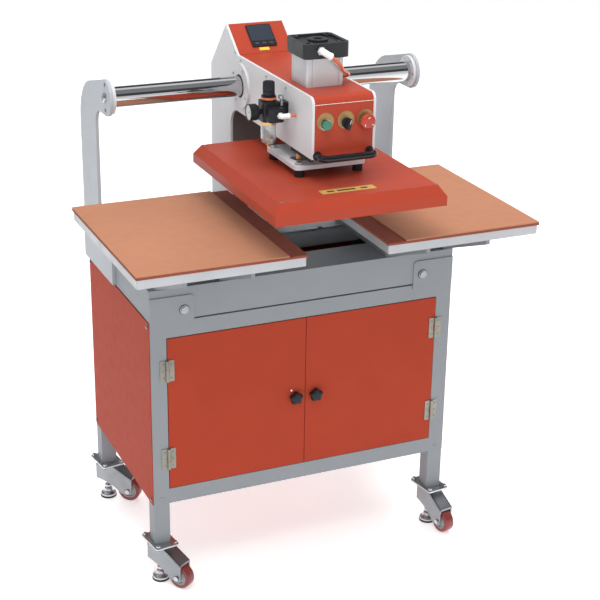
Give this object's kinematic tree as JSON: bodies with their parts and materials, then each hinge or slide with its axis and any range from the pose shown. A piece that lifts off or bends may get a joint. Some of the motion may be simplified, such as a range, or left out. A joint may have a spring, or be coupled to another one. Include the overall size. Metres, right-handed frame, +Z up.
{
  "type": "heat press",
  "caption": "Pneumatic double-station heat press: a sliding head on a chrome tube presses either of two padded platens on a castor cabinet.",
  "frame": {"origin": "on the floor, midway between the front of the heated platen and the back of the bed, on the cabinet's left-right middle", "axes": "X to the operator's right, Y away from the operator, Z up"},
  "size_m": [1, 0.805, 1.35],
  "materials": {
    "frame_paint": "grey powder coat",
    "shade_paint": "dark grey powder coat",
    "plate_paint": "pale grey powder coat",
    "red_paint": "orange-red satin powder coat",
    "zinc": "zinc-plated steel",
    "chrome": "polished hard chrome",
    "aluminium": "machined aluminium",
    "silicone": "silicone sponge sheet",
    "polyurethane": "moulded polyurethane tread",
    "black_plastic": "black moulded plastic",
    "black_metal": "black anodised metal",
    "clear_plastic": "clear polycarbonate",
    "green_plastic": "green moulded plastic",
    "red_plastic": "red moulded plastic",
    "screen": "dark glossy screen"
  },
  "bodies": {
    "cabinet": {"cart_frame": "frame_paint", "front_beam": "frame_paint", "rear_deck": "frame_paint", "side_beams": "frame_paint", "corner_plates": "frame_paint", "frame_screws": "zinc", "left_side_panel": "red_paint", "right_side_panel": "red_paint", "back_panel": "red_paint", "bottom_shelf": "red_paint", "bed_rail": "zinc", "left_upright": "plate_paint", "right_upright": "plate_paint", "tube_flanges": "plate_paint", "guide_tube": "chrome", "platen_brackets": "frame_paint", "left_platen": "aluminium", "right_platen": "aluminium", "silicone_pads": "silicone", "hinge_leaves": "zinc", "castor_plates": "zinc"},
    "left_door": {"left_door": "red_paint"},
    "left_knob": {"left_door_knob": "black_plastic"},
    "right_door": {"right_door": "red_paint"},
    "right_knob": {"right_door_knob": "black_plastic"},
    "fork_front_left": {"castor_fork_front_left": "zinc"},
    "wheel_front_left": {"castor_wheel_front_left": "polyurethane"},
    "foot_front_left": {"levelling_foot_front_left": "chrome"},
    "fork_front_right": {"castor_fork_front_right": "zinc"},
    "wheel_front_right": {"castor_wheel_front_right": "polyurethane"},
    "foot_front_right": {"levelling_foot_front_right": "chrome"},
    "fork_rear_left": {"castor_fork_rear_left": "zinc"},
    "wheel_rear_left": {"castor_wheel_rear_left": "polyurethane"},
    "foot_rear_left": {"levelling_foot_rear_left": "chrome"},
    "fork_rear_right": {"castor_fork_rear_right": "zinc"},
    "wheel_rear_right": {"castor_wheel_rear_right": "polyurethane"},
    "foot_rear_right": {"levelling_foot_rear_right": "chrome"},
    "head": {"left_side_plate": "plate_paint", "right_side_plate": "plate_paint", "carriage_bearings": "plate_paint", "arm_base": "zinc", "head_cover": "red_paint", "control_box": "red_paint", "column_cover": "shade_paint", "touchscreen": "screen", "cylinder_body": "aluminium", "cylinder_cap": "black_metal", "head_handle": "black_metal", "regulator_body": "black_plastic", "pressure_gauge": "black_plastic", "filter_bowl": "clear_plastic"},
    "press": {"press_rods": "chrome", "hanger_plate": "plate_paint", "platen_spacers": "black_plastic", "heat_plate": "aluminium", "heat_cover": "red_paint"},
    "pressure_knob": {"regulator_knob": "black_plastic"},
    "start_button": {"green_button": "green_plastic"},
    "selector": {"selector_knob": "black_plastic"},
    "emergency_stop": {"stop_button": "red_plastic"}
  },
  "joints": [
    {"name": "left_door_hinge", "type": "hinge", "parent": "cabinet", "child": "left_door", "pos_m": [-0.36, -0.1325, 0.464], "axis": [0, 0, 1], "range_deg": [-110, 0]},
    {"name": "left_knob_turn", "type": "hinge", "parent": "left_door", "child": "left_knob", "pos_m": [-0.027, -0.1275, 0.452], "axis": [0, 1, 0], "range_deg": [-90, 0]},
    {"name": "right_door_hinge", "type": "hinge", "parent": "cabinet", "child": "right_door", "pos_m": [0.36, -0.1325, 0.464], "axis": [0, 0, 1], "range_deg": [0, 110]},
    {"name": "right_knob_turn", "type": "hinge", "parent": "right_door", "child": "right_knob", "pos_m": [0.027, -0.1275, 0.452], "axis": [0, 1, 0], "range_deg": [0, 90]},
    {"name": "front_left_swivel", "type": "hinge", "parent": "cabinet", "child": "fork_front_left", "pos_m": [-0.38, -0.1075, 0.1], "axis": [0, 0, 1], "continuous": true},
    {"name": "front_left_roll", "type": "hinge", "parent": "fork_front_left", "child": "wheel_front_left", "pos_m": [-0.3446, -0.16201, 0.0315], "axis": [0.8387, 0.5446, 0], "continuous": true},
    {"name": "front_left_foot_screw", "type": "slide", "parent": "fork_front_left", "child": "foot_front_left", "axis": [0, 0, 1], "range_m": [-0.008, 0.012]},
    {"name": "front_right_swivel", "type": "hinge", "parent": "cabinet", "child": "fork_front_right", "pos_m": [0.38, -0.1075, 0.1], "axis": [0, 0, 1], "continuous": true},
    {"name": "front_right_roll", "type": "hinge", "parent": "fork_front_right", "child": "wheel_front_right", "pos_m": [0.39129, -0.17151, 0.0315], "axis": [0.9848, 0.1736, 0], "continuous": true},
    {"name": "front_right_foot_screw", "type": "slide", "parent": "fork_front_right", "child": "foot_front_right", "axis": [0, 0, 1], "range_m": [-0.008, 0.012]},
    {"name": "rear_left_swivel", "type": "hinge", "parent": "cabinet", "child": "fork_rear_left", "pos_m": [-0.38, 0.3455, 0.1], "axis": [0, 0, 1], "continuous": true},
    {"name": "rear_left_roll", "type": "hinge", "parent": "fork_rear_left", "child": "wheel_rear_left", "pos_m": [-0.33021, 0.30372, 0.0315], "axis": [0.6428, 0.766, 0], "continuous": true},
    {"name": "rear_left_foot_screw", "type": "slide", "parent": "fork_rear_left", "child": "foot_rear_left", "axis": [0, 0, 1], "range_m": [-0.008, 0.012]},
    {"name": "rear_right_swivel", "type": "hinge", "parent": "cabinet", "child": "fork_rear_right", "pos_m": [0.38, 0.3455, 0.1], "axis": [0, 0, 1], "continuous": true},
    {"name": "rear_right_roll", "type": "hinge", "parent": "fork_rear_right", "child": "wheel_rear_right", "pos_m": [0.41728, 0.29226, 0.0315], "axis": [0.8192, 0.5736, 0], "continuous": true},
    {"name": "rear_right_foot_screw", "type": "slide", "parent": "fork_rear_right", "child": "foot_rear_right", "axis": [0, 0, 1], "range_m": [-0.008, 0.012]},
    {"name": "head_slide", "type": "slide", "parent": "cabinet", "child": "head", "axis": [1, 0, 0], "range_m": [-0.309, 0.291]},
    {"name": "press_stroke", "type": "slide", "parent": "head", "child": "press", "axis": [0, 0, 1], "range_m": [-0.085, 0]},
    {"name": "pressure_knob_turn", "type": "hinge", "parent": "head", "child": "pressure_knob", "pos_m": [-0.105, -0.1305, 1.226], "axis": [0, 0, 1], "range_deg": [-540, 540]},
    {"name": "green_button_press", "type": "slide", "parent": "head", "child": "start_button", "axis": [0, 1, 0], "range_m": [0, 0.0035], "stiffness_N_per_m": 800},
    {"name": "selector_turn", "type": "hinge", "parent": "head", "child": "selector", "pos_m": [0.02, -0.2775, 1.188], "axis": [0, 1, 0], "range_deg": [-60, 0]},
    {"name": "stop_button_press", "type": "slide", "parent": "head", "child": "emergency_stop", "axis": [0, 1, 0], "range_m": [0, 0.006]}
  ]
}
